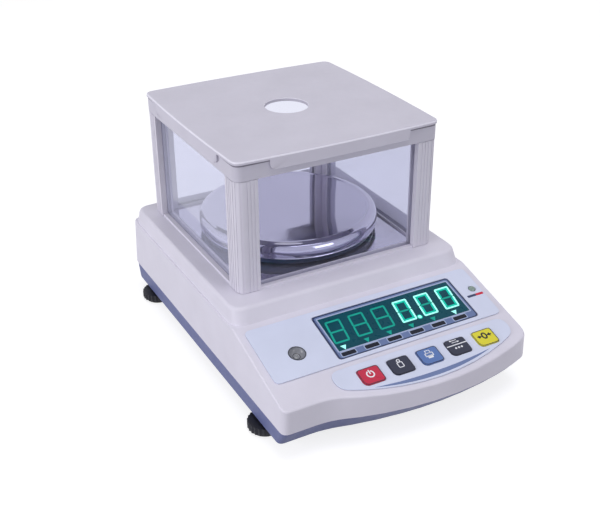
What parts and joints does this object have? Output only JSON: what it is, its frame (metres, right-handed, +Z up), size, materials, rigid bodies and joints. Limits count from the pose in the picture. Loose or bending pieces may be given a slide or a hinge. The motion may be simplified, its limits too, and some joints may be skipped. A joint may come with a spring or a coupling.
{
  "type": "precision balance",
  "caption": "Bench balance with a square glass draught shield under a lift-off lid, a round steel pan and a sloped panel with display, level and keys, on levelling feet.",
  "frame": {"origin": "on the floor under the middle of the balance's outer bounds", "axes": "+X to the user's right, +Y to the back, away from the display panel, +Z up"},
  "size_m": [0.1958, 0.2749, 0.1655],
  "materials": {
    "casing": "satin moulded plastic",
    "tray": "satin moulded plastic",
    "shield": "satin extruded plastic",
    "glass": "clear",
    "pan_steel": "polished",
    "floor_steel": "polished",
    "carrier": "satin",
    "black_plastic": "satin",
    "rubber": "matt",
    "overlay": "printed film",
    "window": "clear printed film",
    "display": "back-lit",
    "circuit_board": "varnished",
    "aluminium": "machined",
    "zinc_steel": "zinc plated",
    "battery": "satin",
    "vial": "clear",
    "indicator": "diffused",
    "key_red": "silicone-like",
    "key_dark": "silicone-like",
    "key_blue": "silicone-like",
    "key_yellow": "silicone-like"
  },
  "bodies": {
    "base": {"upper_housing": "casing", "lower_tray": "tray", "case_screw_front_left": "zinc_steel", "case_screw_front_right": "zinc_steel", "case_screw_rear_right": "zinc_steel", "case_screw_rear_left": "zinc_steel", "shield_post_front_left": "shield", "shield_post_front_right": "shield", "shield_post_rear_right": "shield", "shield_post_rear_left": "shield", "glass_pane_front": "glass", "glass_pane_right": "glass", "glass_pane_rear": "glass", "glass_pane_left": "glass", "shield_frame": "shield", "chamber_floor": "floor_steel", "load_cell": "aluminium", "load_cell_mount": "zinc_steel", "chassis_plate": "zinc_steel", "overload_stop": "zinc_steel", "display_overlay": "overlay", "display_window": "window", "keypad_overlay": "overlay", "keypad_board": "circuit_board", "display_module": "display", "charge_indicator": "indicator", "level_holder": "black_plastic", "level_vial": "vial", "main_board": "circuit_board", "buzzer": "black_plastic", "battery_pack": "battery", "socket_board": "circuit_board", "power_inlet": "black_plastic", "serial_port": "zinc_steel"},
    "lid": {"shield_lid": "shield"},
    "weighing_side": {"pan_support": "aluminium", "pan_carrier": "carrier", "pan_cushion_front_left": "rubber", "pan_cushion_front_right": "rubber", "pan_cushion_rear_right": "rubber", "pan_cushion_rear_left": "rubber"},
    "pan": {"weighing_pan": "pan_steel"},
    "key_power": {"key_power": "key_red"},
    "key_cal": {"key_cal": "key_dark"},
    "key_print": {"key_print": "key_blue"},
    "key_unit": {"key_unit": "key_dark"},
    "key_tare": {"key_tare": "key_yellow"},
    "pad_front_left": {"foot_pad_front_left": "rubber"},
    "knob_front_left": {"foot_knob_front_left": "black_plastic"},
    "pad_front_right": {"foot_pad_front_right": "rubber"},
    "knob_front_right": {"foot_knob_front_right": "black_plastic"},
    "pad_rear_right": {"foot_pad_rear_right": "rubber"},
    "knob_rear_right": {"foot_knob_rear_right": "black_plastic"},
    "pad_rear_left": {"foot_pad_rear_left": "rubber"},
    "knob_rear_left": {"foot_knob_rear_left": "black_plastic"}
  },
  "joints": [
    {"name": "lid_lift", "type": "slide", "parent": "base", "child": "lid", "axis": [0, 0, 1], "range_m": [0, 0.06]},
    {"name": "load_cell_flex", "type": "slide", "parent": "base", "child": "weighing_side", "axis": [0, 0, 1], "range_m": [-0.00025, 0], "stiffness_N_per_m": 117700},
    {"name": "pan_lift", "type": "slide", "parent": "weighing_side", "child": "pan", "axis": [0, 0, 1], "range_m": [0, 0.06]},
    {"name": "power_press", "type": "slide", "parent": "base", "child": "key_power", "axis": [0, -0.2605, 0.9655], "range_m": [-0.0004, 0], "stiffness_N_per_m": 2500},
    {"name": "cal_press", "type": "slide", "parent": "base", "child": "key_cal", "axis": [0, -0.2605, 0.9655], "range_m": [-0.0004, 0], "stiffness_N_per_m": 2500},
    {"name": "print_press", "type": "slide", "parent": "base", "child": "key_print", "axis": [0, -0.2605, 0.9655], "range_m": [-0.0004, 0], "stiffness_N_per_m": 2500},
    {"name": "unit_press", "type": "slide", "parent": "base", "child": "key_unit", "axis": [0, -0.2605, 0.9655], "range_m": [-0.0004, 0], "stiffness_N_per_m": 2500},
    {"name": "tare_press", "type": "slide", "parent": "base", "child": "key_tare", "axis": [0, -0.2605, 0.9655], "range_m": [-0.0004, 0], "stiffness_N_per_m": 2500},
    {"name": "front_left_foot_travel", "type": "slide", "parent": "base", "child": "pad_front_left", "axis": [0, 0, 1], "range_m": [-0.004, 0.001]},
    {"name": "front_left_foot_turn", "type": "hinge", "parent": "pad_front_left", "child": "knob_front_left", "pos_m": [-0.0859, -0.0823, 0], "axis": [0, 0, 1], "range_deg": [-1440, 360]},
    {"name": "front_right_foot_travel", "type": "slide", "parent": "base", "child": "pad_front_right", "axis": [0, 0, 1], "range_m": [-0.004, 0.001]},
    {"name": "front_right_foot_turn", "type": "hinge", "parent": "pad_front_right", "child": "knob_front_right", "pos_m": [0.0859, -0.0823, 0], "axis": [0, 0, 1], "range_deg": [-1440, 360]},
    {"name": "rear_right_foot_travel", "type": "slide", "parent": "base", "child": "pad_rear_right", "axis": [0, 0, 1], "range_m": [-0.004, 0.001]},
    {"name": "rear_right_foot_turn", "type": "hinge", "parent": "pad_rear_right", "child": "knob_rear_right", "pos_m": [0.0859, 0.1082, 0], "axis": [0, 0, 1], "range_deg": [-1440, 360]},
    {"name": "rear_left_foot_travel", "type": "slide", "parent": "base", "child": "pad_rear_left", "axis": [0, 0, 1], "range_m": [-0.004, 0.001]},
    {"name": "rear_left_foot_turn", "type": "hinge", "parent": "pad_rear_left", "child": "knob_rear_left", "pos_m": [-0.0859, 0.1082, 0], "axis": [0, 0, 1], "range_deg": [-1440, 360]}
  ],
  "couplings": [
    {"joint": "front_left_foot_travel", "follows": "front_left_foot_turn", "m_per_rad": 0.00015915},
    {"joint": "front_right_foot_travel", "follows": "front_right_foot_turn", "m_per_rad": 0.00015915},
    {"joint": "rear_right_foot_travel", "follows": "rear_right_foot_turn", "m_per_rad": 0.00015915},
    {"joint": "rear_left_foot_travel", "follows": "rear_left_foot_turn", "m_per_rad": 0.00015915}
  ]
}
